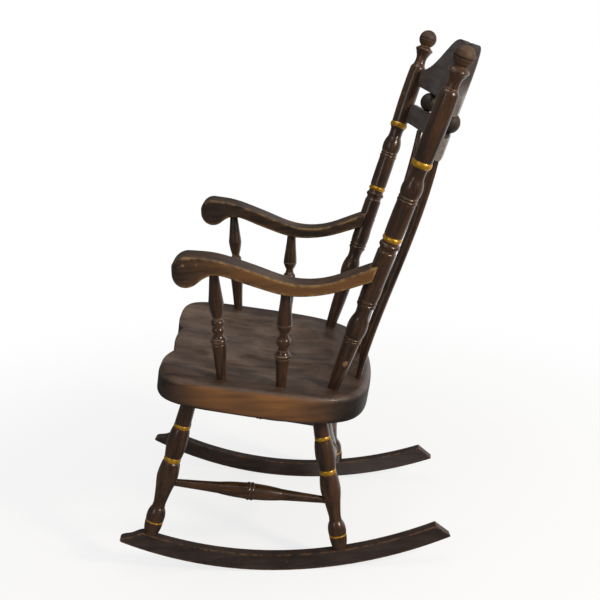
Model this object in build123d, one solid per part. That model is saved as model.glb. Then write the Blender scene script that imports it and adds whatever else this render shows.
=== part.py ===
from build123d import *
from math import cos, radians, sin, sqrt, tan
from copy import copy
import os

# Turned and bent wood rocking chair. Millimetres and degrees.
# +X is the sitter's left, +Y the back, +Z up; the origin is on the floor under
# the middle of the chair. Left-hand pieces are made and mirrored for the right.

# Joints
glue_gap = 0.15  # play round and beyond a tenon in its socket
shoulder_gap = 0.2  # play under a shoulder that is fitted to a face
into_wood = 12  # how far a tenon starts inside its own piece

# Rockers
rocker_front_radius = 831
rocker_back_radius = 945
rocker_contact_y = 7.8  # where the two arcs meet on the floor, under the centre of mass
rocker_height = 38.5
rocker_thickness = 20.6
rocker_front_y = -363
rocker_back_y = 364
nose_length = 52
nose_drop = 8
heel_bevel = 33
tip_ease = 2  # the sharp lower corners of nose and heel are taken off this much
rocker_toe_in = 4.69  # the rockers close in toward the back

# Seat
seat_height = 442  # top of the plank at mid depth
seat_slope = 8.1  # falls toward the back
seat_thickness = 65
seat_half_width = 266
seat_front = 270.5
seat_back = 193
seat_top_round = 16
seat_bottom_round = 16
seat_notch_round = 6
bevel_start_y = -75  # the underside rises from here to the front
bevel_rise = 4
channel_radius = 250
channel_depth = 14
channel_x = 100
channel_end_y = -10
dish_radius = 900
dish_depth = 10
dish_y = -30

# Legs
front_leg_foot_y = -297
front_leg_top_y = -203
rear_leg_foot_y = 118
rear_leg_top_y = 67
leg_tenon_radius = 11
leg_tenon_depth = 28
foot_tenon_radius = 7
foot_tenon_depth = 20

# Stretchers, placed by their distance up each leg
side_stretcher_front = 125
side_stretcher_rear = 112
front_stretcher_up = 156
rear_stretcher_up = 144
stretcher_end_radius = 8
stretcher_setback = 4  # the ends stop this far from the legs' axes

# Back
post_foot_y = 99.1
back_rake = 18.15
back_splay = 7.53
post_length = 716  # up to the ball on its top
post_radius = 19.4  # where the arm meets it
finial_radius = 20.4
finial_centre = 730
finial_line = 0.7  # groove round the ball
post_tenon_radius = 9.5
post_tenon_depth = 34
rail_setback = 4  # front face of the rails behind the posts' axes
rail_thickness = 22
rail_bow = 37
rail_end_setback = 8  # the rails' ends stop this far from the posts' axes
rail_tenon_length = 28
rail_tenon_reach = 3  # past the post axis
rail_tenon_thickness = 8
rail_tenon_cheek = 1  # from the rail's face to the tenon's
rail_tenon_inset = 9
slat_bottom = 528
slat_height = 45
slat_rise = 3
gallery_gap = 43  # between the slat and the crest
crest_height = 132.8
crest_end_height = 38.5
rail_edge_round = 4
ball_tenon_radius = 4
ball_tenon_depth = 9
ball_flat = 0.6  # taken off each pole of a gallery ball

# Back spindles
inner_spindle_foot_y = 165
outer_spindle_foot_y = 155
inner_spindle_sways = (-8, 1, 4)  # off the straight line at a fifth, half and four fifths
outer_spindle_sways = (-3, 3, 6)
spindle_radius = 6.2
spindle_half_width = 11
spindle_half_thickness = 5.8
spindle_tenon_radius = 4.5
spindle_tenon_depth = 22

# Arms
arm_low_z = 674  # lowest point of the top face
arm_dip_run = 243  # from the scroll back to that point
arm_rise = 62  # of the hand over it
arm_depth = 23.5  # of the wood there
arm_scroll_y = -191.5
arm_scroll_radius = 31
arm_scroll_lift = 2.5  # underside of the scroll above the lowest point of the top
arm_crown_angle = 84  # where the top face runs off the scroll
arm_throat_angle = -59  # where the underside leaves it
arm_edge_round = 3
arm_cope = 9  # the arm stops this far in front of the post axis
arm_hand_width = 60
arm_post_width = 44
arm_side_bow = 11  # both sides of the arm curve in this far on the way back
arm_joint_z = 688.5
arm_spindle_tenon_radius = 6.5
arm_spindle_tenon_depth = 22
arm_spindle_top_depth = 14
front_spindle_foot_y = -133
front_spindle_top_y = -141
rear_spindle_foot_y = -10
rear_spindle_top_y = 2

# Arm screws
screw_radius = 2.2
screw_head_radius = 4.4
screw_head_height = 3
screw_reach = 62
screw_dive = 12  # the screw falls toward its tip
plug_radius = 5.2
plug_bore = 9
plug_proud = 2

# Places across the chair, set by the width of the seat
rocker_middle_x = seat_half_width - 52  # centre line of the left rocker at mid length
front_leg_top_x = 0.725 * seat_half_width
rear_leg_top_x = 0.583 * seat_half_width
post_foot_x = 0.726 * seat_half_width
front_spindle_foot_x = seat_half_width - 40
rear_spindle_foot_x = seat_half_width - 44
arm_hand_x = seat_half_width - 10
front_spindle_top_x = seat_half_width - 20
rear_spindle_top_x = seat_half_width - 32
inner_spindle_foot_x = 0.15 * seat_half_width
outer_spindle_foot_x = 0.447 * seat_half_width
ball_half_spacing = 0.212 * seat_half_width  # half the distance from ball to ball

crest_bottom = slat_bottom + slat_height + gallery_gap

slope = radians(seat_slope)
rake = radians(back_rake)
splay = radians(back_splay)
toe = radians(rocker_toe_in)

# Turned profiles: the starting radius, then (distance, radius, swell) for each
# run of the chisel. Swell is the rise of an arc over its chord: beads and vases
# are positive, coves negative and straight tapers zero.
LEG = (13.9, [
    (32, 19.4, 1.6), (34, 19.4, -0.6), (52, 19.4, 0.7), (66, 14.0, 0.8),
    (76, 13.3, 0), (114, 18.6, -0.3), (140, 22.8, 0.5), (173, 19.4, 0.7),
    (176, 17.3, 0), (186, 17.3, 1.3), (188, 18.6, 0), (213, 22.0, 0.2),
    (238, 21.2, 0.5), (253, 18.7, 0.2), (255, 16.7, 0), (263, 16.7, 1.2),
    (265, 17.3, 0), (330, 15.6, 0)])
POST = (12.0, [
    (118, 17.4, 0.8), (124, 17.4, 1.5), (130, 17.4, 1.5), (132, 18.4, 0),
    (176, 17.6, 3.2), (185, 15.3, -0.5), (191, 15.3, 0), (204, 17.8, -0.6),
    (212, 18.2, 1.8), (220, 18.4, 1.7), (221, 19.6, 0), (258, post_radius, 0.9),
    (330, post_radius, 0), (334, 17.5, -0.5), (339, 17.8, 0), (350, 17.8, 3.4),
    (355, 17.6, 0), (365, 17.6, 2.3), (367, 19.2, 0), (438, 19.2, 0.4),
    (445, 18.3, 1.7), (451, 18.4, 1.6), (453, 19.4, 0), (484, 18.0, 2.5),
    (494, 15.2, -0.5), (503, 15.2, 0), (513, 17.4, -0.6), (514, 18.6, 0),
    (526, 18.6, 2.0), (530, 18.7, 0), (622, 19.8, 0.7), (659, 18.4, 0.3),
    (668, 13.0, 1.0), (671, 13.0, 0.9), (681, 12.2, -0.2), (694, 16.0, -0.8),
    (702, 20.2, -0.5), (705.5, 20.2, 0.6), (712, 12.0, 0), (716, 11.0, 0)])
FRONT_ARM_SPINDLE = (10.4, [
    (80, 15.4, -0.6), (82, 14.5, 0), (93, 14.5, 2.8), (102, 9.3, -1.0),
    (105, 9.8, 0), (117, 9.8, 2.9), (119, 10.4, 0), (134, 9.4, 3.6),
    (137, 9.1, 0), (169, 15.6, 0.8), (229, 9.4, -0.3), (235, 9.2, 0)])
REAR_ARM_SPINDLE = (10.7, [
    (66, 15.2, -0.5), (68, 14.8, 0), (77, 14.8, 2.6), (88, 10.2, -1.0),
    (95, 11.0, 0), (115, 10.6, 4.4), (125, 9.2, -0.6), (141, 16.2, 0.6),
    (167, 14.1, 0.3), (200, 11.0, -0.2), (215, 10.4, 0)])
HALF_STRETCHER = [
    (22, stretcher_end_radius, 0), (60, 9.8, 0.1), (113, 12.6, -0.1), (166, 17.4, 0.8), (176, 18.0, 0),
    (184, 18.0, 1.8)]


def both_ends(start_radius, half):
    """A turned profile that is the same from either end of the piece."""
    length = 2 * half[-1][0]
    back = [(length - s, r) for s, r, _ in half[:-1]][::-1] + [(length, start_radius)]
    swells = [swell for _, _, swell in half][::-1]
    return start_radius, half + [(s, r, w) for (s, r), w in zip(back, swells)]


STRETCHER = both_ends(stretcher_end_radius, HALF_STRETCHER)


def turned(profile, start, end, before=0, beyond=0, grow=0):
    """Wood turned on the line from start to end, its profile stretched to fit.

    It runs on straight before the start and beyond the end, and grow adds to
    every radius.
    """
    first_radius, runs = profile
    length = (end - start).length
    stretch = length / runs[-1][0]
    at = (first_radius + grow, -before)
    edges = [Line((0, -before), at)]
    if before:
        edges.append(Line(at, (first_radius + grow, 0)))
    at = (first_radius + grow, 0)
    for distance, radius, swell in runs:
        to = (radius + grow if radius else 0, distance * stretch)
        if swell:
            along, out = to[1] - at[1], to[0] - at[0]
            chord = sqrt(along**2 + out**2)
            middle = (
                (at[0] + to[0]) / 2 + swell * along / chord,
                (at[1] + to[1]) / 2 - swell * out / chord,
            )
            edges.append(ThreePointArc(at, middle, to))
        else:
            edges.append(Line(at, to))
        at = to
    if beyond:
        edges.append(Line(at, (at[0], length + beyond)))
        at = (at[0], length + beyond)
    if at[0]:
        edges.append(Line(at, (0, at[1])))
    edges.append(Line((0, at[1]), (0, -before)))
    outline = Plane.XZ * make_face(edges)
    axis = (end - start).normalized()
    return Plane(origin=start, z_dir=axis) * revolve(outline, Axis.Z)


def smooth(points, leaving, arriving):
    """Spline through the points with a direction given at each end."""
    ends = [Vector(*leaving).normalized(), Vector(*arriving).normalized()]
    return Spline(points, tangents=ends, tangent_scalars=[1, 1])


def rod(start, end, radius):
    """Plain cylinder from one point to another."""
    line = end - start
    cylinder = Cylinder(radius, line.length, align=(Align.CENTER, Align.CENTER, Align.MIN))
    return Plane(origin=start, z_dir=line.normalized()) * cylinder


def tenon(point, direction, depth, radius):
    """Round tenon entering at a point, and the socket bored for it."""
    away = direction.normalized()
    start = point - away * into_wood
    peg = rod(start, point + away * depth, radius)
    socket = rod(start, point + away * (depth + glue_gap), radius + glue_gap)
    return peg, socket


def mirrored(piece):
    """The matching piece on the other side of the chair."""
    return mirror(piece, Plane.YZ)


# Rockers -------------------------------------------------------------------

rocker_plane = Plane(
    origin=(rocker_middle_x, 0, 0), x_dir=(-sin(toe), cos(toe), 0), z_dir=(cos(toe), sin(toe), 0)
)


def rocker_z(t, up=0):
    """Height of the rocker's bottom curve, or of the curve a distance above it."""
    radius = rocker_front_radius if t < rocker_contact_y else rocker_back_radius
    return radius - sqrt((radius - up) ** 2 - (t - rocker_contact_y) ** 2)


def rocker_arc(start, end, up=0):
    """Arc of the bottom or top curve between two places along the rocker."""
    stops = [(t, rocker_z(t, up)) for t in (start, (start + end) / 2, end)]
    return ThreePointArc(*stops)


def rocker_profile(raise_top=0):
    """Side of the rocker: two arcs meeting on the floor, an eased nose in front
    and a bevelled heel."""
    front, back, rest = rocker_front_y / cos(toe), rocker_back_y / cos(toe), rocker_contact_y
    height = rocker_height + raise_top
    nose_start, heel_top = front + nose_length, back - heel_bevel
    shoulder = rocker_z(nose_start, height)
    tip = (front, rocker_z(front) + tip_ease)
    heel = (back, rocker_z(back) + tip_ease / 2)
    bottom_front, bottom_back = front + 1.5 * tip_ease, back - tip_ease
    brow = (front + 0.45 * nose_length, shoulder - nose_drop)
    nose = smooth([(nose_start, shoulder), brow, tip], (-1, 0.1), (-0.3, -1))
    return make_face([
        rocker_arc(bottom_front, rest),
        rocker_arc(rest, bottom_back),
        Line((bottom_back, rocker_z(bottom_back)), heel),
        Line(heel, (heel_top, rocker_z(heel_top, height))),
        rocker_arc(heel_top, rest, height),
        rocker_arc(rest, nose_start, height),
        nose,
        Line(tip, (bottom_front, rocker_z(bottom_front))),
    ])


def rocker_blank(thickness, raise_top=0):
    return rocker_plane * extrude(rocker_profile(raise_top), thickness / 2, both=True)


def on_rocker(y):
    """Point of the left rocker's top centre line at a given depth."""
    t = y / cos(toe)
    return Vector(rocker_middle_x - t * sin(toe), y, rocker_z(t, rocker_height))


# Seat ----------------------------------------------------------------------

seat_plane = Plane(
    origin=(0, 0, seat_height), x_dir=(1, 0, 0), z_dir=(0, sin(slope), cos(slope))
)


def on_seat(x, y):
    return Vector(x, y, seat_height - y * tan(slope))


def under_seat(x, y):
    """Point of the underside, which rises in front of the bevel line."""
    rise = bevel_rise * max(0, bevel_start_y - y) / (seat_front + bevel_start_y)
    return on_seat(x, y) - Vector(0, 0, seat_thickness / cos(slope) - rise)


def seat_depth(point):
    """How far a point lies under the plane of the seat's top."""
    return -seat_plane.to_local_coords(point).Z


def seat_outline():
    """Plan of the plank: round back, swelling sides and a front of two lobes
    with the pommel between them."""
    width, front, back = seat_half_width, seat_front, seat_back
    shoulder = (0.966 * width, -0.8 * front)
    cusp = (0.263 * width, -0.93 * front)
    side = smooth([
        (0, back), (0.4 * width, 0.965 * back), (0.782 * width, 0.796 * back),
        (0.897 * width, 0.586 * back), (0.988 * width, 0), (0.996 * width, -0.5 * front),
        shoulder,
    ], (1, 0), (-0.3, -1))
    lobe = smooth([
        shoulder, (0.88 * width, -0.945 * front), (0.6 * width, -front),
        (0.4 * width, -0.985 * front), cusp,
    ], (-0.3, -1), (-0.85, 0.55))
    pommel = ThreePointArc(cusp, (0, -0.965 * front), (-cusp[0], cusp[1]))
    half = [side, lobe]
    return make_face(half + [pommel] + [mirror(edge, Plane.YZ) for edge in half])


def seat_blank():
    """The plank before it is rounded and carved."""
    plank = seat_plane * extrude(seat_outline(), -seat_thickness)
    crease = under_seat(0, bevel_start_y)
    bevel = (under_seat(0, -seat_front) - crease).normalized() * 2 * seat_front
    down = Vector(0, 0, -seat_thickness)
    corners = [crease, crease + bevel, crease + bevel + down, crease + down]
    wedge = make_face(Polyline(*[tuple(corner) for corner in corners], close=True))
    return plank - extrude(wedge, 2 * seat_half_width, dir=(1, 0, 0), both=True)


def rounded_seat(blank):
    """Ease the two notches of the front, then round the rim above and below."""
    corners = [edge for edge in blank.edges() if 0.25 < seat_depth(edge.center()) / seat_thickness < 0.75]
    notches = [edge for edge in corners if 0.1 < abs(edge.center().X) / seat_half_width < 0.5]
    blank = fillet(notches, seat_notch_round)
    rim = [edge for edge in blank.edges() if seat_depth(edge.center()) < 0.01]
    blank = fillet(rim, seat_top_round)
    low = [edge for edge in blank.edges() if seat_depth(edge.center()) > 0.75 * seat_thickness]
    crease = [edge for edge in low if edge.length > seat_half_width and edge.geom_type == GeomType.LINE]
    return fillet([edge for edge in low if edge not in crease], seat_bottom_round)


def seat_carving():
    """Two thigh channels that run out over the front, and a dish behind them."""
    radius, run = channel_radius, 2 * seat_front
    end = RadiusArc((radius, 0), (0, radius), -radius)
    sides = Polyline((0, radius), (0, -run), (radius, -run), (radius, 0))
    channel = revolve(make_face([end, sides]), Axis.Y)
    lift = channel_radius - channel_depth
    dish = Pos(0, dish_y, dish_radius - dish_depth) * Sphere(dish_radius)
    channels = [Pos(x, channel_end_y, lift) * channel for x in (-channel_x, channel_x)]
    return [seat_plane * tool for tool in channels + [dish]]


# Back ----------------------------------------------------------------------

post_foot = on_seat(post_foot_x, post_foot_y)
post_axis = Vector(sin(splay), cos(splay) * sin(rake), cos(splay) * cos(rake))
post_top = post_foot + post_axis * post_length
bow_half_span = post_foot_x + crest_bottom * tan(splay)  # the bow ends between the posts at the crest


def on_post(height):
    """Point of the post axis at a height above the floor."""
    return post_foot + post_axis * ((height - post_foot.Z) / post_axis.Z)


def bow(x):
    """How far back the rails stand at a distance from the middle of the chair."""
    return rail_setback + rail_bow * (1 - (x / bow_half_span) ** 2)


def rail_plane(height):
    """Plane square to the back at a height up it, its own Y pointing backward."""
    origin = Vector(0, post_foot.Y + height * sin(rake), post_foot.Z + height * cos(rake))
    return Plane(origin=origin, x_dir=(1, 0, 0), z_dir=(0, sin(rake), cos(rake)))


def rail_band(height):
    """Bowed board standing on the plane of a rail."""
    half = bow_half_span
    arc_radius = (half**2 + rail_bow**2) / (2 * rail_bow)
    swing = 1 + rail_thickness / arc_radius
    centre = rail_setback + rail_bow - arc_radius
    back_end = (half * swing, centre + (rail_setback - centre) * swing)
    front_middle = rail_setback + rail_bow
    front_arc = ThreePointArc((-half, rail_setback), (0, front_middle), (half, rail_setback))
    back_arc = ThreePointArc((-back_end[0], back_end[1]), (0, front_middle + rail_thickness), back_end)
    ends = [Line((side * half, rail_setback), (side * back_end[0], back_end[1])) for side in (-1, 1)]
    return extrude(make_face([front_arc, back_arc] + ends), height)


def post_x(up):
    """Half width between the post axes at a height up the back."""
    return post_foot_x + up * tan(splay)


def rail_tenons(plane, base, low, high):
    """Left end tenon of a rail and the mortise for it, square to the rail."""
    start = post_x(base + (low + high) / 2) + rail_tenon_reach - rail_tenon_length
    middle = Pos(start, bow(start) + rail_tenon_cheek + rail_tenon_thickness / 2, (low + high) / 2)
    pieces = []
    for play in (0, glue_gap):
        block = Box(
            rail_tenon_length + play, rail_tenon_thickness + 2 * play, high - low + 2 * play,
            align=(Align.MIN, Align.CENTER, Align.CENTER),
        )
        pieces.append(plane * middle * block)
    return pieces


def fitted_rail(plane, outline, height, post_space):
    """Rail sawn to its outline from a taller bowed board and fitted to the posts."""
    board = Pos(0, 0, -rail_thickness) * rail_band(height + 2 * rail_thickness)
    rail = board & extrude(Plane.XZ * outline, bow_half_span, both=True)
    long_edges = [edge for edge in rail.edges() if edge.length > height]
    rail = fillet(long_edges, rail_edge_round)
    return plane * rail - post_space - mirrored(post_space)


def crest_outline():
    """Elevation: a level lower edge and two humps meeting in a small notch."""
    top, span, low_end = crest_height, bow_half_span, crest_end_height
    end = post_x(crest_bottom + low_end / 2) - rail_end_setback
    lift = low_end * tan(splay)
    hump = Spline(
        (end, low_end), (0.82 * span, 0.39 * top), (0.66 * span, 0.6 * top),
        (0.5 * span, 0.845 * top), (0.4 * span, 0.955 * top), (0.29 * span, top),
        (0.1 * span, 0.975 * top), (0, 0.966 * top),
    )
    low = Line((lift - end, 0), (end - lift, 0))
    sides = [Line((side * (end - lift), 0), (side * end, low_end)) for side in (-1, 1)]
    return make_face([low, hump, mirror(hump, Plane.YZ)] + sides)


def slat_outline():
    """Elevation of the lower rail, its edges rising a little to the middle."""
    low_end = post_x(slat_bottom) - rail_end_setback
    high_end = post_x(slat_bottom + slat_height) - rail_end_setback
    bottom = ThreePointArc((-low_end, 0), (0, slat_rise), (low_end, 0))
    top = ThreePointArc((-high_end, slat_height), (0, slat_height + slat_rise), (high_end, slat_height))
    sides = [Line((side * low_end, 0), (side * high_end, slat_height)) for side in (-1, 1)]
    return make_face([bottom, top] + sides)


def slat_edge_rise(x):
    """Rise of the slat's edges above its ends at a distance from the middle."""
    return slat_rise * (1 - (x / post_x(slat_bottom)) ** 2)


def gallery_ball(x):
    """Ball between the two rails with a tenon at each pole, and its sockets."""
    centre = bow(x) + rail_thickness / 2
    low = slat_bottom + slat_height + slat_edge_rise(x)
    half_gap = (crest_bottom - low) / 2
    place = rail_plane(low + half_gap) * Pos(x, centre, 0)
    half_pin = half_gap + ball_tenon_depth
    ball = Sphere(half_gap + ball_flat) & Cylinder(2 * half_gap, 2 * (half_gap - shoulder_gap))
    ball += Cylinder(ball_tenon_radius, 2 * half_pin)
    sockets = Cylinder(ball_tenon_radius + glue_gap, 2 * (half_pin + glue_gap))
    return place * ball, place * sockets


def back_spindle(foot_xy, top_x, sways):
    """Bent spindle, round at its ends and flattened between, with its tenons."""
    foot = on_seat(*foot_xy)
    under_slat = Vector(top_x, bow(top_x) + rail_thickness / 2, slat_edge_rise(top_x))
    top = rail_plane(slat_bottom).from_local_coords(under_slat)
    rise = top - foot
    out = Vector(0, cos(rake), -sin(rake))
    bends = [foot + rise * along + out * sway for along, sway in zip((0.2, 0.5, 0.8), sways)]
    path = Spline(foot, *bends, top)
    half_wide, half_thick, end = spindle_half_width, spindle_half_thickness, spindle_radius
    stations = [
        (0.004, end, end), (0.12, end + 0.6, end + 0.2), (0.35, half_wide, half_thick),
        (0.65, half_wide, half_thick), (0.88, end + 0.6, end + 0.1), (0.996, end, end - 0.2),
    ]
    sections = []
    for along, wide, thick in stations:
        plane = Plane(origin=path @ along, x_dir=(1, 0, 0), z_dir=path % along)
        sections.append(plane * Ellipse(wide, thick))
    body = loft(sections)
    foot_peg, foot_socket = tenon(foot, path % 0 * -1, spindle_tenon_depth, spindle_tenon_radius)
    top_peg, top_socket = tenon(top, path % 1, spindle_tenon_depth * 0.7, spindle_tenon_radius)
    return body, [foot_peg, top_peg], foot_socket, top_socket


# Arms ----------------------------------------------------------------------


def arm_side(drop=0):
    """Side of the arm: an S-shaped top, a hollow under it and a round scroll in
    front. Drop lowers the underside only."""
    low, run, rise, y = arm_low_z, arm_dip_run, arm_rise, arm_scroll_y
    radius = arm_scroll_radius + drop
    centre_z = low + arm_scroll_lift + arm_scroll_radius
    crown, nose, throat = [
        (y + radius * cos(radians(turn)), centre_z + radius * sin(radians(turn)))
        for turn in (arm_crown_angle, 180, arm_throat_angle)
    ]
    off_crown = (sin(radians(arm_crown_angle)), -cos(radians(arm_crown_angle)))
    off_throat = (-sin(radians(arm_throat_angle)), cos(radians(arm_throat_angle)))
    end_y = post_foot.Y + (low - post_foot.Z) * tan(rake) + arm_scroll_radius
    end_top, end_under = (end_y, low + 0.77 * rise), (end_y, low + 0.29 * rise)
    top = smooth([crown] + [
        (y + along * run, low + up * rise)
        for along, up in (
            (0.2, 0.945), (0.385, 0.72), (0.59, 0.41), (0.795, 0.105), (1, 0), (1.2, 0.12), (1.37, 0.36),
        )
    ] + [end_top], off_crown, (1, 0.38))
    under = smooth([throat] + [
        (y + along * run, low - drop - arm_depth + up * rise)
        for along, up in (
            (0.119, 0.645), (0.184, 0.766), (0.385, 0.597), (0.59, 0.29), (0.795, 0.04), (1, 0),
            (1.2, 0.113), (1.37, 0.306),
        )
    ] + [end_under], off_throat, (1, 0.35))
    front = ThreePointArc(crown, nose, throat)
    return make_face([top, Line(end_top, end_under), under, front])


def arm_plan():
    """Plan of the left arm: rounded at the hand, bowed in and narrowing to the post."""
    behind = on_post(arm_joint_z) + Vector(0, arm_hand_width, 0)
    front_y = arm_scroll_y - arm_scroll_radius
    start_y = front_y + arm_hand_width / 2
    sides = []
    for side in (-1, 1):
        start = Vector(arm_hand_x + side * arm_hand_width / 2, start_y)
        end = Vector(behind.X + side * arm_post_width / 2, behind.Y)
        sides.append(ThreePointArc(start, (start + end) / 2 - Vector(arm_side_bow, 0), end))
    inner, outer = sides
    nose = Spline(outer @ 0, (arm_hand_x, front_y), inner @ 0, tangents=[outer % 0 * -1, inner % 0])
    return make_face([outer, inner, nose, Line(outer @ 1, inner @ 1)])


def arm_slab(drop=0):
    """The arm's side carried right across, to fit the spindle tops under it."""
    return extrude(Plane.YZ * arm_side(drop), 2 * seat_half_width)


def arm_body():
    """The arm, cut off behind on a slant that lies along the post."""
    arm = arm_slab() & extrude(arm_plan(), 2 * arm_low_z)
    cut = Plane(origin=on_post(arm_joint_z) - Vector(0, arm_cope, 0), z_dir=(0, cos(rake), -sin(rake)))
    return split(arm, bisect_by=cut, keep=Keep.BOTTOM)


def arm_underside(x, y):
    """Point of the arm's underside above a point in plan."""
    probe = Line((x, y, arm_low_z - 2 * arm_depth), (x, y, arm_low_z + arm_rise))
    inside = probe & arm_slab()
    return min(inside.vertices(), key=lambda vertex: vertex.Z).center()


# Pieces --------------------------------------------------------------------


def turned_leg(foot, top):
    """Leg fitted to the rocker's top and the seat's underside, with tenons.

    Returns the leg, its two sockets and its axis.
    """
    axis = (top - foot).normalized()
    sideways = Vector(cos(toe), sin(toe), 0)
    in_rocker = axis - sideways * axis.dot(sideways)
    body = turned(LEG, foot, top, before=9, beyond=14)
    body -= Pos(0, 0, shoulder_gap) * rocker_blank(4 * rocker_thickness)
    body -= Pos(0, 0, -shoulder_gap) * plank
    foot_peg, foot_socket = tenon(foot, in_rocker * -1, foot_tenon_depth, foot_tenon_radius)
    top_peg, top_socket = tenon(top, axis, leg_tenon_depth, leg_tenon_radius)
    return body + foot_peg + top_peg, foot_socket, top_socket, axis


def stretcher(start, end):
    """Turned stretcher whose ends run into sockets in two legs."""
    inset = (end - start).normalized() * stretcher_setback
    play = (end - start).normalized() * glue_gap
    body = turned(STRETCHER, start + inset, end - inset)
    socket = rod(start + inset - play, end - inset + play, stretcher_end_radius + glue_gap)
    return body, socket


def cross_stretcher(end):
    """Stretcher from a left leg to the right one."""
    return stretcher(end, Vector(-end.X, end.Y, end.Z))


plank = seat_blank()

front_foot = on_rocker(front_leg_foot_y)
rear_foot = on_rocker(rear_leg_foot_y)
front_leg, front_foot_socket, front_top_socket, front_axis = turned_leg(
    front_foot, under_seat(front_leg_top_x, front_leg_top_y)
)
rear_leg, rear_foot_socket, rear_top_socket, rear_axis = turned_leg(
    rear_foot, under_seat(rear_leg_top_x, rear_leg_top_y)
)

side_stretcher, side_socket = stretcher(
    front_foot + front_axis * side_stretcher_front, rear_foot + rear_axis * side_stretcher_rear
)
front_stretcher, front_cross_socket = cross_stretcher(front_foot + front_axis * front_stretcher_up)
rear_stretcher, rear_cross_socket = cross_stretcher(rear_foot + rear_axis * rear_stretcher_up)

front_leg -= [side_socket, front_cross_socket]
rear_leg -= [side_socket, rear_cross_socket]
rocker = rocker_blank(rocker_thickness) - [front_foot_socket, rear_foot_socket]

# Back posts, rails, balls and spindles
post = turned(POST, post_foot, post_top, before=10)
post_space = turned(POST, post_foot, post_top, grow=shoulder_gap)
finial_place = Plane(origin=post_foot + post_axis * finial_centre, z_dir=post_axis)
post += finial_place * (Sphere(finial_radius) - Torus(finial_radius + finial_line / 2, finial_line))
post -= Pos(0, 0, shoulder_gap) * plank
post_peg, post_socket = tenon(post_foot, post_axis * -1, post_tenon_depth, post_tenon_radius)
post += post_peg

slat_plane = rail_plane(slat_bottom)
crest_plane = rail_plane(crest_bottom)
slat = fitted_rail(slat_plane, slat_outline(), slat_height + slat_rise, post_space)
crest = fitted_rail(crest_plane, crest_outline(), crest_height, post_space)
slat_tenon, slat_mortise = rail_tenons(
    slat_plane, slat_bottom, rail_tenon_inset, slat_height - rail_tenon_inset
)
crest_tenon, crest_mortise = rail_tenons(
    crest_plane, crest_bottom, rail_tenon_inset, crest_end_height - rail_tenon_inset
)
slat += [slat_tenon, mirrored(slat_tenon)]
crest += [crest_tenon, mirrored(crest_tenon)]
post -= [slat_mortise, crest_mortise]

balls = {}
back_spindles = {}
seat_sockets = [front_top_socket, rear_top_socket, post_socket]
for name, x, foot_xy, sways in (
    ("inner", ball_half_spacing, (inner_spindle_foot_x, inner_spindle_foot_y), inner_spindle_sways),
    ("outer", 3 * ball_half_spacing, (outer_spindle_foot_x, outer_spindle_foot_y), outer_spindle_sways),
):
    ball, ball_sockets = gallery_ball(x)
    body, pegs, foot_socket, top_socket = back_spindle(foot_xy, x, sways)
    body = body - Pos(0, 0, shoulder_gap) * plank - slat
    balls[name] = ball
    back_spindles[name] = body + pegs
    seat_sockets.append(foot_socket)
    both = [ball_sockets, mirrored(ball_sockets)]
    slat = slat - both - [top_socket, mirrored(top_socket)]
    crest = crest - both

# Arms and their spindles
arm = arm_body()
arm_end = arm.faces().sort_by(Axis.Y)[-1]
across = [edge for edge in arm.edges() if edge.length < 1.2 * arm_hand_width]
arm_edges = [edge for edge in arm.edges() if edge not in across and edge not in arm_end.edges()]
arm = fillet(arm_edges, arm_edge_round) - post_space
slab = arm_slab(shoulder_gap)
arm_spindles = {}
for name, profile, foot, top in (
    (
        "front", FRONT_ARM_SPINDLE, on_seat(front_spindle_foot_x, front_spindle_foot_y),
        arm_underside(front_spindle_top_x, front_spindle_top_y),
    ),
    (
        "rear", REAR_ARM_SPINDLE, on_seat(rear_spindle_foot_x, rear_spindle_foot_y),
        arm_underside(rear_spindle_top_x, rear_spindle_top_y),
    ),
):
    line = (top - foot).normalized()
    body = turned(profile, foot, top, before=8, beyond=9)
    body = body - Pos(0, 0, shoulder_gap) * plank - slab
    foot_peg, foot_socket = tenon(foot, line * -1, arm_spindle_tenon_depth, arm_spindle_tenon_radius)
    top_peg, top_socket = tenon(top, line, arm_spindle_top_depth, arm_spindle_tenon_radius)
    arm_spindles[name] = body + foot_peg + top_peg
    seat_sockets.append(foot_socket)
    arm -= top_socket

# Screw through the post into the arm, under a button plug
joint = on_post(arm_joint_z)
screw_line = Vector(0, -cos(radians(screw_dive)), -sin(radians(screw_dive)))
counterbore = joint - screw_line * (post_radius - plug_bore)
surface = joint - screw_line * post_radius
screw_tip = counterbore + screw_line * screw_reach
head_end = counterbore - screw_line * screw_head_height
screw = rod(counterbore, screw_tip, screw_radius) + rod(counterbore, head_end, screw_head_radius)
screw_hole = rod(counterbore, screw_tip + screw_line, screw_radius + glue_gap)
hole_mouth = surface - screw_line * plug_bore
plug_hole = rod(counterbore + screw_line * glue_gap, hole_mouth, plug_radius + glue_gap)
plug_start = head_end - screw_line * glue_gap
plug_end = surface - screw_line * plug_proud
plug = rod(plug_start, plug_end, plug_radius)
plug = fillet(plug.edges().sort_by_distance(plug_end)[0], 0.9 * plug_proud)
post -= [screw_hole, plug_hole]
arm -= screw_hole

# The seat, rounded, bored and carved
seat = rounded_seat(plank)
for tool in seat_carving():
    seat -= tool
seat -= seat_sockets + [mirrored(socket) for socket in seat_sockets]

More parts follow.
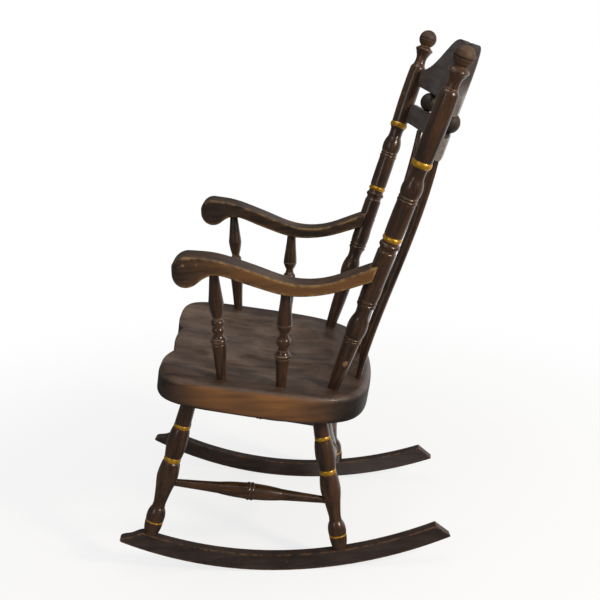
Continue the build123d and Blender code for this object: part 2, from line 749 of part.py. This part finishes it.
pairs = {
    "rocker": rocker,
    "front_leg": front_leg,
    "rear_leg": rear_leg,
    "side_stretcher": side_stretcher,
    "back_post": post,
    "inner_back_spindle": back_spindles["inner"],
    "outer_back_spindle": back_spindles["outer"],
    "inner_gallery_ball": balls["inner"],
    "outer_gallery_ball": balls["outer"],
    "arm": arm,
    "front_arm_spindle": arm_spindles["front"],
    "rear_arm_spindle": arm_spindles["rear"],
    "arm_screw": screw,
    "arm_plug": plug,
}
nodes = {
    "seat": seat,
    "crest_rail": crest,
    "back_slat": slat,
    "front_stretcher": front_stretcher,
    "rear_stretcher": rear_stretcher,
}
for name, piece in pairs.items():
    nodes["left_" + name] = piece
    nodes["right_" + name] = mirrored(piece)

# The origin goes under the middle of the overall depth
whole = Compound(children=[copy(piece) for piece in nodes.values()]).bounding_box()
centred = Pos(0, -(whole.min.Y + whole.max.Y) / 2, -whole.min.Z)

os.makedirs("parts", exist_ok=True)
for name, piece in nodes.items():
    export_step(centred * piece, "parts/" + name + ".step")
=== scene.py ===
"""Looks of a dark stained rocking chair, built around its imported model.

Every CAD node keeps its shape and place, and gets a node material. A pale floor, a white
studio and three lamps are added. +X is the sitter's left, +Y the back and +Z up. Lengths
are in metres, but for the turned pieces' lines and the chips, which are in millimetres,
as in the part's source, until metres() and spans() convert them.
"""

import bpy
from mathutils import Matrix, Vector

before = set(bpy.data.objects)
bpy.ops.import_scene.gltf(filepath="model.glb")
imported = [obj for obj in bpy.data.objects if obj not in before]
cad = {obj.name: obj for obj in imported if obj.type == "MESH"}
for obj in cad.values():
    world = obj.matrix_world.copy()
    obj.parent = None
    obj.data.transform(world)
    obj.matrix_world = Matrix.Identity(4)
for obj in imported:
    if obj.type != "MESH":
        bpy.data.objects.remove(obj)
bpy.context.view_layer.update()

MM = 0.001
X_AXIS, Y_AXIS, Z_AXIS = (1, 0, 0), (0, 1, 0), (0, 0, 1)
WHITE = (1, 1, 1, 1)


# Camera ------------------------------------------------------------------------------

# The photograph's view, as the chair's perspective in it gives it.
CAMERA_PLACE = Vector((2.0435, 0.04401, 1.2361))
CAMERA_LOOKS = Vector((-0.9492, -0.01436, -0.3143))
CAMERA_LENS = 57.0
CAMERA_SENSOR = 36.0

camera_data = bpy.data.cameras.new("camera")
camera_data.lens = CAMERA_LENS
camera_data.sensor_width = CAMERA_SENSOR
camera = bpy.data.objects.new("camera", camera_data)
camera.location = CAMERA_PLACE
camera.rotation_mode = "QUATERNION"
camera.rotation_quaternion = CAMERA_LOOKS.to_track_quat("-Z", "Y")
bpy.context.scene.collection.objects.link(camera)
bpy.context.scene.camera = camera
bpy.context.scene.view_settings.view_transform = "Standard"


# Node trees --------------------------------------------------------------------------

# Sockets of a Mix node that mixes colours.
MIX_FACTOR, MIX_FIRST, MIX_SECOND, MIX_RESULT = 0, 6, 7, 2


class Nodes:
    """A node tree, with short calls for what the materials share."""

    def __init__(self, tree):
        self.tree = tree

    def add(self, kind, settings=None, **inputs):
        """A new node; settings are its properties, inputs the values or sockets it takes."""
        node = self.tree.nodes.new(kind)
        for name, value in (settings or {}).items():
            setattr(node, name, value)
        for name, value in inputs.items():
            self.feed(node.inputs[name.replace("_", " ")], value)
        return node

    def feed(self, socket, value):
        """Links value to the socket if it is a socket too, and sets it otherwise."""
        if isinstance(value, bpy.types.NodeSocket):
            self.tree.links.new(value, socket)
        else:
            socket.default_value = value

    def maths(self, operation, *values):
        node = self.add("ShaderNodeMath", {"operation": operation})
        for socket, value in zip(node.inputs, values):
            self.feed(socket, value)
        return node.outputs[0]

    def plus(self, first, second):
        return self.maths("ADD", first, second)

    def minus(self, first, second):
        return self.maths("SUBTRACT", first, second)

    def opposite(self, share):
        """What share leaves of 1."""
        return self.minus(1.0, share)

    def times(self, *values):
        product = values[0]
        for value in values[1:]:
            product = self.maths("MULTIPLY", product, value)
        return product

    def largest(self, *values):
        most = values[0]
        for value in values[1:]:
            most = self.maths("MAXIMUM", most, value)
        return most

    def vectors(self, operation, *values):
        """The outputs of vector maths, of which one is used: Vector or Value."""
        node = self.add("ShaderNodeVectorMath", {"operation": operation})
        for socket, value in zip(node.inputs, values):
            self.feed(socket, value)
        return node.outputs

    def parts(self, vector):
        """The X, Y and Z of a vector."""
        return self.add("ShaderNodeSeparateXYZ", Vector=vector).outputs

    def rises(self, value, low, high):
        """0 below low, 1 above high, smooth between; low may be the larger."""
        node = self.add("ShaderNodeMapRange", {"interpolation_type": "SMOOTHSTEP"},
                        Value=value, From_Min=low, From_Max=high)
        return node.outputs["Result"]

    def band(self, value, start, end, soft):
        """1 between start and end, with soft borders."""
        return self.times(self.rises(value, start - soft, start + soft),
                          self.rises(value, end + soft, end - soft))

    def bands(self, value, pairs, soft):
        """1 inside any of the (start, end) pairs."""
        return self.largest(*(self.band(value, start, end, soft) for start, end in pairs))

    def mix(self, blend_type, factor, first, second):
        node = self.add("ShaderNodeMix", {"data_type": "RGBA", "blend_type": blend_type})
        self.feed(node.inputs[MIX_FACTOR], factor)
        self.feed(node.inputs[MIX_FIRST], first)
        self.feed(node.inputs[MIX_SECOND], second)
        return node.outputs[MIX_RESULT]

    def noise(self, vector, scale, detail=3.0, roughness=0.55, distortion=0.0):
        """Noise with a period of about 1/scale metres along each axis of vector."""
        scaled = self.vectors("MULTIPLY", vector, scale)["Vector"]
        node = self.add("ShaderNodeTexNoise", Vector=scaled, Scale=1.0, Detail=detail,
                        Roughness=roughness, Distortion=distortion)
        return node.outputs["Fac"]

    def mirrored(self, path):
        """1 for what is seen in or through a surface, given the outputs of a light path."""
        return self.largest(path["Is Glossy Ray"], path["Is Transmission Ray"])


def colour(red, green, blue):
    """A linear colour from the 0 to 255 values that a screen shows."""
    def linear(value):
        value /= 255
        return value / 12.92 if value <= 0.04045 else ((value + 0.055) / 1.055) ** 2.4
    return (linear(red), linear(green), linear(blue), 1.0)


# Wood --------------------------------------------------------------------------------

# Scales of the noises, in waves per metre: first three across and along the grain, the
# others along the chair's axes.
FIGURE_SCALE = (70, 70, 5)
STREAK_SCALE = (420, 420, 14)
PORE_SCALE = (1500, 1500, 60)
BLOTCH_SCALE = (14, 14, 14)
BROKEN_SCALE = (55, 55, 30)
TOP_WEAR_SCALE = (16, 9, 16)
SIDE_WEAR_AND_SHEEN_SCALE = (7, 6, 18)
SPOT_SCALE = (110, 110, 60)
RAGGED_SCALE = (160, 160, 160)
WOBBLE_SCALE = (90, 90, 90)
FLAKE_SCALE = (320, 320, 320)
GILT_SCALE = (140, 140, 140)

# Values of a noise between which what it drives goes from none to full.
LIGHT_TONE = (0.34, 0.66)
BLOTCHED = (0.42, 0.72)
OPEN_PORE = (0.60, 0.72)
TINTED = (0.30, 0.65)
BROKEN = (0.40, 0.60)
TOP_RUBBED = (0.44, 0.66)
SIDE_WEAR_AND_SHEEN = (0.05, 0.46)
SPOTTED = (0.735, 0.76)
UNFLAKED = (0.76, 0.68)
BRIGHT_GILT = (0.3, 0.7)

# How far up a face looks, or outward, from where that doesn't count to where it fully does.
STEEP = (0.75, 0.15)
UPWARD = (0.35, 0.9)
CROWNED = (0.2, 0.6)
OUTWARD_FULL = 0.98
# How well a face agrees with its rounded self, from where no edge is near to where one is.
AT_EDGE = (0.998, 0.965)

# How much of the tone comes from the figure, the rest being streaks.
FIGURE_SHARE = 0.65
# Wear along the fibres, and the rails' painted reflection: the least of it, and what the figure
# adds.
FIBRE_LEAST, FIBRE_GAIN = 0.1, 1.7
CHIP_COVER = 0.8
DUST_COVER = 0.7

# The lacquer, and how it changes where it is dull or gilt.
LACQUER_IOR = 1.48
COAT_IOR = 1.5
COAT_ROUGHNESS = 0.12
ROUGHNESS_SPREAD = 0.10
DULL_ROUGHNESS = 0.3
GILT_ROUGHNESS = 0.10
GILT_METAL = 0.6
STREAK_RELIEF, PORE_RELIEF, BLOTCH_RELIEF = 0.18, -0.12, 0.9
BUMP_STRENGTH, BUMP_DEPTH = 0.12, 0.0012

# What the stain is multiplied by. The crown, rear and top margin shades are painted shade; the
# dark line shade is in part painted shadow.
BLOTCH_SHADE = (0.68, 0.66, 0.64, 1.0)
PORE_SHADE = (0.66, 0.64, 0.62, 1.0)
CROWN_PAINTED_SHADE = (0.42, 0.38, 0.34, 1.0)
SEAT_SIDE_SHADE = (0.34, 0.28, 0.25, 1.0)
REAR_PAINTED_SHADE = (0.45, 0.40, 0.38, 1.0)
TOP_MARGIN_PAINTED_SHADE = (0.66, 0.58, 0.53, 1.0)
DARK_LINE_SHADE = (0.25, 0.22, 0.20, 1.0)

GOLD = colour(206, 158, 44)
OLD_GOLD = colour(164, 118, 30)
CHIP = colour(128, 98, 62)
DUST = colour(122, 98, 74)


class Wood:
    """A stained and lacquered wood, on its way to a material.

    The grain runs along a line from foot, and spans of the line are in metres from foot.
    The calls that are wanted come in the order in which they stand here, and finish last.
    """

    def __init__(self, name, dark, light, foot=(0, 0, 0), along=Y_AXIS,
                 figure_scale=FIGURE_SCALE, gloss=0.2, coat=0.22):
        self.material = bpy.data.materials.new(name)
        self.material.use_nodes = True
        self.nodes = n = Nodes(self.material.node_tree)
        self.gloss = gloss
        self.coat = coat
        self.edge_share = 1.0
        self.dull = None
        self.gold = None

        coordinates = n.add("ShaderNodeTexCoord").outputs
        self.place = coordinates["Object"]
        self.across = n.parts(self.place)
        self.facing = n.parts(coordinates["Normal"])
        turn = Vector(along).to_track_quat("Z", "Y").to_euler()
        grain = n.add("ShaderNodeMapping", {"vector_type": "TEXTURE"}, Vector=self.place,
                      Location=foot, Rotation=turn).outputs["Vector"]
        self.distance = n.parts(grain)["Z"]

        self.figure = n.noise(grain, figure_scale, detail=4, distortion=0.6)
        self.streaks = n.noise(grain, STREAK_SCALE, detail=2)
        self.pores = n.noise(grain, PORE_SCALE, detail=1)
        self.blotches = n.noise(self.place, BLOTCH_SCALE)
        self.broken = n.rises(n.noise(self.place, BROKEN_SCALE, detail=4, roughness=0.65), *BROKEN)

        tone = n.plus(n.times(self.figure, FIGURE_SHARE), n.times(self.streaks, 1 - FIGURE_SHARE))
        self.base = n.mix("MIX", n.rises(tone, *LIGHT_TONE), dark, light)
        self.darken(n.rises(self.blotches, *BLOTCHED), BLOTCH_SHADE)
        self.darken(n.rises(self.pores, *OPEN_PORE), PORE_SHADE)

    def cover(self, share, shade):
        self.base = self.nodes.mix("MIX", share, self.base, shade)

    def darken(self, share, shade):
        self.base = self.nodes.mix("MULTIPLY", share, self.base, shade)

    def tint(self, zones, shade, border=0.003):
        """Another shade and a dull lacquer on spans of the line."""
        n = self.nodes
        self.dull = n.bands(self.distance, zones, border)
        self.cover(n.times(self.dull, n.rises(self.blotches, *TINTED)), shade)

    def paint_crown_shade(self, height, border=0.012):
        """Paints shade on tops above a height, and makes them dull."""
        n = self.nodes
        above = n.rises(self.across["Z"], height - border, height + border)
        self.dull = n.times(n.rises(self.facing["Z"], *CROWNED), above)
        self.darken(self.dull, CROWN_PAINTED_SHADE)

    def darken_sides(self, shade, rear, border=(0.02, 0.10), dullness=0.6, edge_loss=0.7):
        """Makes steep faces darker and duller; behind rear it paints shade on them and rubs their
        edges less.
        """
        n = self.nodes
        steep = n.rises(self.facing["Z"], *STEEP)
        behind = n.rises(self.across["Y"], rear - border[0], rear + border[1])
        self.darken(steep, shade)
        self.darken(n.times(steep, behind), REAR_PAINTED_SHADE)
        self.edge_share = n.opposite(n.times(behind, edge_loss))
        self.dull = n.times(steep, dullness)

    def sat_on(self, half_width, rear, side_border=0.02, rear_border=0.06, uneven=0.10):
        """1 on the part of a top that people sit on; the rest of the top gets painted shade."""
        n = self.nodes
        drift = n.times(n.minus(self.blotches, 0.5), uneven)
        sideways = n.plus(n.maths("ABSOLUTE", self.across["X"]), drift)
        backward = n.plus(self.across["Y"], drift)
        inside = n.times(n.rises(sideways, half_width + side_border, half_width - side_border),
                         n.rises(backward, rear + rear_border, rear - rear_border))
        upward = n.rises(self.facing["Z"], *UPWARD)
        self.darken(n.times(upward, n.opposite(inside)), TOP_MARGIN_PAINTED_SHADE)
        return inside

    def wear_top(self, shade, strength, inside=1.0):
        """Rubs tops, as far as inside says."""
        n = self.nodes
        upward = n.rises(self.facing["Z"], *UPWARD)
        patchy = n.rises(n.noise(self.place, TOP_WEAR_SCALE), *TOP_RUBBED)
        self.cover(n.times(upward, n.times(patchy, inside), strength), shade)

    def wear_or_paint_sheen_on_sides(self, shade, strength, outward_from=0.55, front_to_rear=None, border=0.08):
        """Rubs faces looking away from the middle, along the fibres; on rails, a painted
        reflection.
        """
        n = self.nodes
        away = n.times(self.facing["X"], n.maths("SIGN", self.across["X"]))
        patchy = n.noise(self.place, SIDE_WEAR_AND_SHEEN_SCALE, detail=2, roughness=0.4)
        patchy = n.rises(patchy, *SIDE_WEAR_AND_SHEEN)
        if front_to_rear:
            patchy = n.times(patchy, n.band(self.across["Y"], *front_to_rear, border))
        fibres = n.plus(FIBRE_LEAST, n.times(self.figure, FIBRE_GAIN))
        outward = n.rises(away, outward_from, OUTWARD_FULL)
        self.cover(n.times(outward, patchy, fibres, strength), shade)

    def wear_or_highlight_edges(self, shade, strength=0.6, width=0.0035):
        """Rubs what lies within about width of a sharp edge; on the arms, in part a painted
        highlight.
        """
        n = self.nodes
        normal = n.add("ShaderNodeNewGeometry").outputs["Normal"]
        rounded = n.add("ShaderNodeBevel", {"samples": 6}, Radius=width).outputs["Normal"]
        agreement = n.vectors("DOT_PRODUCT", normal, rounded)["Value"]
        edge = n.rises(agreement, *AT_EDGE)
        self.cover(n.times(edge, self.broken, strength, self.edge_share), shade)

    def spot(self, strength=0.5):
        """Small chips all over."""
        n = self.nodes
        spots = n.rises(n.noise(self.place, SPOT_SCALE, detail=2), *SPOTTED)
        self.cover(n.times(spots, strength), CHIP)

    def chip(self, chips, border=0.0008, uneven=0.02):
        """Ragged chips, as (place, radius)."""
        n = self.nodes
        ragged = n.times(n.minus(n.noise(self.place, RAGGED_SCALE), 0.5), uneven)
        for centre, radius in chips:
            gap = n.plus(n.vectors("DISTANCE", self.place, centre)["Value"], ragged)
            bare = n.rises(gap, radius + border, radius - border)
            self.cover(n.times(bare, CHIP_COVER), CHIP)

    def gild(self, rings, border=0.0004, uneven=0.0005):
        """Gold painted rings on spans of the line, a little flaked."""
        n = self.nodes
        wobble = n.times(n.minus(n.noise(self.place, WOBBLE_SCALE), 0.5), uneven)
        painted = n.bands(n.plus(self.distance, wobble), rings, border)
        unflaked = n.rises(n.noise(self.place, FLAKE_SCALE), *UNFLAKED)
        self.gold = n.times(painted, unflaked)
        fresh = n.rises(n.noise(self.place, GILT_SCALE), *BRIGHT_GILT)
        self.cover(self.gold, n.mix("MIX", fresh, OLD_GOLD, GOLD))

    def seam(self, dark_spans, border=0.0005):
        """Dark lines on spans of the line; on the finial the middle one is painted shadow in a
        groove.
        """
        for start, end in dark_spans:
            self.darken(self.nodes.band(self.distance, start, end, border), DARK_LINE_SHADE)

    def settle_dust(self, grooves, border=0.0004):
        """Pale dust in grooves on spans of the line."""
        n = self.nodes
        dusty = n.bands(self.distance, grooves, border)
        self.cover(n.times(dusty, self.broken, DUST_COVER), DUST)

    def finish(self):
        """The material, once the lacquer is on."""
        n = self.nodes
        unevenness = n.plus(self.blotches, self.streaks)
        roughness = n.plus(self.gloss, n.times(unevenness, ROUGHNESS_SPREAD))
        coat = self.coat
        if self.dull is not None:
            roughness = n.plus(roughness, n.times(self.dull, DULL_ROUGHNESS))
            coat = n.times(coat, n.opposite(self.dull))
        metal = 0.0
        if self.gold is not None:
            roughness = n.plus(roughness, n.times(self.gold, GILT_ROUGHNESS))
            metal = n.times(self.gold, GILT_METAL)
        relief = n.plus(n.times(self.streaks, STREAK_RELIEF), n.times(self.pores, PORE_RELIEF))
        relief = n.plus(relief, n.times(self.blotches, BLOTCH_RELIEF))
        bump = n.add("ShaderNodeBump", Height=relief, Strength=BUMP_STRENGTH, Distance=BUMP_DEPTH)

        shader = self.material.node_tree.nodes["Principled BSDF"].inputs
        n.feed(shader["Base Color"], self.base)
        n.feed(shader["Roughness"], roughness)
        n.feed(shader["Metallic"], metal)
        n.feed(shader["Normal"], bump.outputs["Normal"])
        n.feed(shader["IOR"], LACQUER_IOR)
        n.feed(shader["Coat Weight"], coat)
        n.feed(shader["Coat Roughness"], COAT_ROUGHNESS)
        n.feed(shader["Coat IOR"], COAT_IOR)
        return self.material


# Finishes of turned pieces -----------------------------------------------------------

DARK = colour(39, 28, 20)
BROWN = colour(76, 49, 29)
TURNED_WORN = colour(104, 76, 52)
BALL_BROWN = colour(78, 54, 25)

# The line of a post, in millimetres: its foot and direction, and what is on it, by the
# distance from the foot.
POST_FOOT = (193.1, 86.11, 427.9)
POST_LINE = (0.1311, 0.3088, 0.9420)
POST_RINGS = ((355, 365), (514, 526))
POST_GROOVES = ((117.4, 118.6), (123.4, 124.6), (129.6, 131.4), (220, 221.2), (332.5, 334.5),
                (444.4, 445.6), (450.6, 452.4), (668, 670), (701, 704))
FINIAL = (708, 800)
# Dark lines on the finial; the middle one is painted shadow in the ball's groove.
FINIAL_DARK_LINES = ((722.6, 723.6), (728.2, 731.8), (739.0, 739.8))
POST_CHIP, POST_CHIP_RADIUS = (217.8, 109.5, 492.6), 6

# The line of each leg, from foot to top in millimetres, and how its turning is stretched
# along that line; the rings are those before the stretching.
LEGS = {
    "front_leg": ((238.4, -310.0, 99.9), (192.85, -216.0, 407.85), 0.985),
    "rear_leg": ((204.3, 105.0, 45.3), (155.1, 54.0, 366.8), 0.998),
}
LEG_RINGS = ((31, 35), (176, 186), (255, 263))

# Heights of the dusty grooves of the arm spindles, and half of such a groove, in millimetres.
SPINDLE_DUST = {"front": (548, 554, 584, 600), "rear": (516, 526, 551, 583)}
HALF_DUST = 1


def metres(point, side=1):
    """A place in metres, on the left or, for side -1, mirrored to the right."""
    return tuple(value * MM for value in (point[0] * side, point[1], point[2]))


def spans(pairs, stretch=1):
    """Spans of a line in metres."""
    return [(start * stretch * MM, end * stretch * MM) for start, end in pairs]


def post_finish(hand, side):
    line = (POST_LINE[0] * side, POST_LINE[1], POST_LINE[2])
    wood = Wood(hand + "post_wood", DARK, BROWN, foot=metres(POST_FOOT, side), along=line)
    wood.tint(spans([FINIAL]), BALL_BROWN)
    wood.wear_or_highlight_edges(TURNED_WORN)
    wood.spot()
    if side > 0:
        wood.chip([(metres(POST_CHIP), POST_CHIP_RADIUS * MM)])
    wood.gild(spans(POST_RINGS))
    wood.seam(spans(FINIAL_DARK_LINES))
    wood.settle_dust(spans(POST_GROOVES))
    return wood.finish()


def leg_finish(hand, side, leg):
    foot_place, top_place, stretch = LEGS[leg]
    foot = Vector(metres(foot_place, side))
    line = Vector(metres(top_place, side)) - foot
    wood = Wood(hand + leg + "_wood", DARK, BROWN, foot=foot, along=line)
    wood.wear_or_highlight_edges(TURNED_WORN)
    wood.spot()
    wood.gild(spans(LEG_RINGS, stretch))
    return wood.finish()


def turned_finish(name, along):
    """Plain turned wood, with its grain along an axis of the chair."""
    wood = Wood(name, DARK, BROWN, along=along)
    wood.wear_or_highlight_edges(TURNED_WORN)
    wood.spot()
    return wood.finish()


def arm_spindle_finish(which):
    """Turned wood rubbed more than the rest; its line starts at the floor."""
    wood = Wood(which + "_arm_spindle_wood", DARK, BROWN, along=Z_AXIS)
    wood.wear_or_highlight_edges(colour(118, 92, 66), strength=0.85, width=0.004)
    wood.spot()
    wood.settle_dust(spans((height - HALF_DUST, height + HALF_DUST)
                           for height in SPINDLE_DUST[which]))
    return wood.finish()


def ball_finish():
    wood = Wood("ball_wood", dark=colour(33, 25, 19), light=colour(58, 40, 27), along=Z_AXIS,
                gloss=0.5, coat=0.0)
    wood.wear_or_highlight_edges(colour(84, 62, 42))
    wood.spot()
    return wood.finish()


# Finishes of boards ------------------------------------------------------------------

# The height above which the crest's tops get painted shade.
CREST_CROWN = 1.055

# Where the sides of arms and seat are rubbed, from front to rear, and the half width and
# the rear of what is sat on.
ARM_RUBBED = (-0.15, 0.30)
SEAT_RUBBED = (-0.20, 0.04)
SAT_ON = (0.205, 0.04)

# Chips on the left arm's scroll, with their radii, in millimetres.
ARM_CHIPS = (((286.4, -216.2, 718.2), 2.2), ((285.9, -208.5, 723.1), 2.6),
             ((282.3, -185.8, 722.1), 2.4))


def rail_finish():
    # A pale grey: on the rails' outward faces it is a painted reflection, and on their edges it is
    # wear.
    painted_sheen_and_wear = colour(140, 132, 124)
    wood = Wood("rail_wood", dark=colour(60, 53, 50), light=colour(88, 79, 75), along=X_AXIS,
                gloss=0.30, coat=0.15)
    # Painted shade, and a duller lacquer, on the crest's tops.
    wood.paint_crown_shade(CREST_CROWN)
    wood.wear_or_paint_sheen_on_sides(painted_sheen_and_wear, strength=0.9, outward_from=0.93)
    wood.wear_or_highlight_edges(painted_sheen_and_wear, strength=0.15)
    wood.spot(0.2)
    return wood.finish()


def arm_finish():
    wood = Wood("arm_wood", dark=colour(38, 26, 16), light=colour(70, 48, 29),
                figure_scale=(80, 80, 6), gloss=0.36, coat=0.1)
    wood.wear_top(colour(98, 70, 34), strength=0.5)
    wood.wear_or_paint_sheen_on_sides(colour(106, 69, 28), strength=0.85, front_to_rear=ARM_RUBBED)
    # The arms' pale edges are wear, and in part a painted highlight.
    wood.wear_or_highlight_edges(colour(150, 116, 66), strength=0.9, width=0.008)
    wood.spot()
    wood.chip([(metres(place), radius * MM) for place, radius in ARM_CHIPS])
    return wood.finish()


def seat_finish():
    wood = Wood("seat_wood", dark=colour(60, 46, 37), light=colour(100, 82, 69),
                figure_scale=(55, 55, 3.4), gloss=0.36, coat=0.1)
    # Painted shade on the seat's sides behind the sat-on part, with less edge wear there.
    wood.darken_sides(SEAT_SIDE_SHADE, rear=SEAT_RUBBED[1])
    # Inside the sat-on part the seat's top is rubbed; outside it, the top gets painted shade.
    wood.wear_top(colour(116, 98, 86), strength=0.6, inside=wood.sat_on(*SAT_ON))
    wood.wear_or_paint_sheen_on_sides(colour(122, 78, 34), strength=1.0, front_to_rear=SEAT_RUBBED)
    wood.wear_or_highlight_edges(colour(128, 88, 48), width=0.006)
    wood.spot(0.2)
    return wood.finish()


def rocker_finish():
    wood = Wood("rocker_wood", dark=colour(42, 32, 28), light=colour(62, 48, 42),
                gloss=0.42, coat=0.0)
    wood.wear_or_highlight_edges(colour(116, 82, 46), strength=0.75, width=0.006)
    wood.spot(0.25)
    return wood.finish()


# Steel -------------------------------------------------------------------------------

STEEL_SCALE = (900, 900, 900)
DARK_STEEL, LIGHT_STEEL = (0.42, 0.41, 0.40, 1), (0.62, 0.61, 0.60, 1)
STEEL_GLOSS, STEEL_SPREAD = 0.22, 0.25


def steel_finish():
    material = bpy.data.materials.new("screw_steel")
    material.use_nodes = True
    n = Nodes(material.node_tree)
    marks = n.noise(n.add("ShaderNodeTexCoord").outputs["Object"], STEEL_SCALE)
    shader = material.node_tree.nodes["Principled BSDF"].inputs
    n.feed(shader["Base Color"], n.mix("MIX", marks, DARK_STEEL, LIGHT_STEEL))
    n.feed(shader["Roughness"], n.plus(STEEL_GLOSS, n.times(marks, STEEL_SPREAD)))
    n.feed(shader["Metallic"], 1.0)
    return material


# The nodes get their finishes --------------------------------------------------------

def finish_node(name, material):
    """Gives a CAD node its material."""
    for slot in cad[name].material_slots:
        slot.material = material


for side, hand in ((1, "left_"), (-1, "right_")):
    finish_node(hand + "back_post", post_finish(hand, side))
    for leg in LEGS:
        finish_node(hand + leg, leg_finish(hand, side, leg))

rail = rail_finish()
crosswise = turned_finish("cross_stretcher_wood", X_AXIS)
FINISHES = {
    "back_spindle": turned_finish("spindle_wood", Z_AXIS),
    "front_arm_spindle": arm_spindle_finish("front"),
    "rear_arm_spindle": arm_spindle_finish("rear"),
    "ball": ball_finish(),
    "side_stretcher": turned_finish("stretcher_wood", Y_AXIS),
    "front_stretcher": crosswise,
    "rear_stretcher": crosswise,
    "plug": crosswise,
    "crest_rail": rail,
    "back_slat": rail,
    "_arm": arm_finish(),
    "seat": seat_finish(),
    "rocker": rocker_finish(),
    "screw": steel_finish(),
}
for name in cad:
    for ending, material in FINISHES.items():
        if name.endswith(ending):
            finish_node(name, material)


# Studio ------------------------------------------------------------------------------

# What polished surfaces see: a dim studio that turns bright behind the chair's right. The
# pairs are where that begins and is full, by the parts of a direction.
STUDIO_DIM = 0.13
STUDIO_BRIGHT = {"X": (0.25, -0.55), "Y": (0.02, 0.42), "Z": (0.85, 0.35)}
# What everything else gets from the world.
DAYLIGHT = 0.34

# Half the floor's width.
FLOOR_HALF = 12.0
FLOOR_PAINT = (0.88, 0.88, 0.88, 1)
# How much of the floor is plain white to the camera under the chair, and the distances
# from there between which it turns all white.
FLOOR_WHITE = 0.78
FLOOR_FADE = (0.5, 1.7)


def studio_level(nodes, direction):
    """How bright the studio is in a direction, to polished surfaces."""
    parts = nodes.parts(direction)
    bright = nodes.times(*(nodes.rises(parts[axis], begins, full)
                           for axis, (begins, full) in STUDIO_BRIGHT.items()))
    return nodes.plus(STUDIO_DIM, nodes.times(bright, 1 - STUDIO_DIM))


def floor_finish():
    """A floor that keeps the chair's shadow and runs into the white background."""
    material = bpy.data.materials.new("floor")
    material.use_nodes = True
    material.node_tree.nodes.clear()
    n = Nodes(material.node_tree)
    path = n.add("ShaderNodeLightPath").outputs
    spot = n.add("ShaderNodeTexCoord").outputs["Object"]
    mirrored = n.mirrored(path)
    heading = n.vectors("NORMALIZE", spot)["Vector"]
    level = n.plus(n.times(mirrored, studio_level(n, heading)), path["Is Camera Ray"])
    far = n.rises(n.vectors("LENGTH", spot)["Value"], *FLOOR_FADE)
    white = n.plus(FLOOR_WHITE, n.times(far, 1 - FLOOR_WHITE))
    share = n.largest(mirrored, n.times(path["Is Camera Ray"], white))
    paint = n.add("ShaderNodeBsdfDiffuse", Color=FLOOR_PAINT)
    glow = n.add("ShaderNodeEmission", Color=WHITE, Strength=level)
    mix = n.add("ShaderNodeMixShader")
    for socket, value in zip(mix.inputs, (share, paint.outputs["BSDF"], glow.outputs["Emission"])):
        n.feed(socket, value)
    n.add("ShaderNodeOutputMaterial", Surface=mix.outputs["Shader"])
    return material


def studio_world():
    """White to the camera, the studio in polished surfaces, and even daylight elsewhere."""
    world = bpy.data.worlds.new("studio")
    world.use_nodes = True
    world.node_tree.nodes.clear()
    n = Nodes(world.node_tree)
    path = n.add("ShaderNodeLightPath").outputs
    mirrored = n.mirrored(path)
    studio = studio_level(n, n.add("ShaderNodeTexCoord").outputs["Generated"])
    level = n.plus(n.times(mirrored, studio), n.times(n.opposite(mirrored), DAYLIGHT))
    level = n.largest(level, path["Is Camera Ray"])
    background = n.add("ShaderNodeBackground", Color=WHITE, Strength=level)
    n.add("ShaderNodeOutputWorld", Surface=background.outputs["Background"])
    return world


def softbox(name, place, aim, width, height, power, tint=(1, 1, 1)):
    """A rectangular lamp at place that faces aim."""
    data = bpy.data.lights.new(name, "AREA")
    data.shape = "RECTANGLE"
    data.size = width
    data.size_y = height
    data.energy = power
    data.color = tint
    lamp = bpy.data.objects.new(name, data)
    lamp.location = place
    lamp.rotation_mode = "QUATERNION"
    lamp.rotation_quaternion = (Vector(aim) - Vector(place)).to_track_quat("-Z", "Y")
    bpy.context.scene.collection.objects.link(lamp)


corners = [(x * FLOOR_HALF, y * FLOOR_HALF, 0) for x, y in ((-1, -1), (1, -1), (1, 1), (-1, 1))]
floor_mesh = bpy.data.meshes.new("floor")
floor_mesh.from_pydata(corners, [], [(0, 1, 2, 3)])
floor_mesh.materials.append(floor_finish())
floor = bpy.data.objects.new("floor", floor_mesh)
bpy.context.scene.collection.objects.link(floor)

bpy.context.scene.world = studio_world()

softbox("key", place=(2.4, -1.7, 1.9), aim=(0, 0, 0.55), width=0.34, height=1.5, power=10)
softbox("overhead", place=(0.3, 0.1, 3.2), aim=(0, 0, 0.5), width=1.8, height=1.8, power=27)
softbox("fill", place=(1.7, 2.3, 2.0), aim=(0, 0, 0.6), width=0.45, height=0.7, power=66,
        tint=(1.0, 0.87, 0.72))
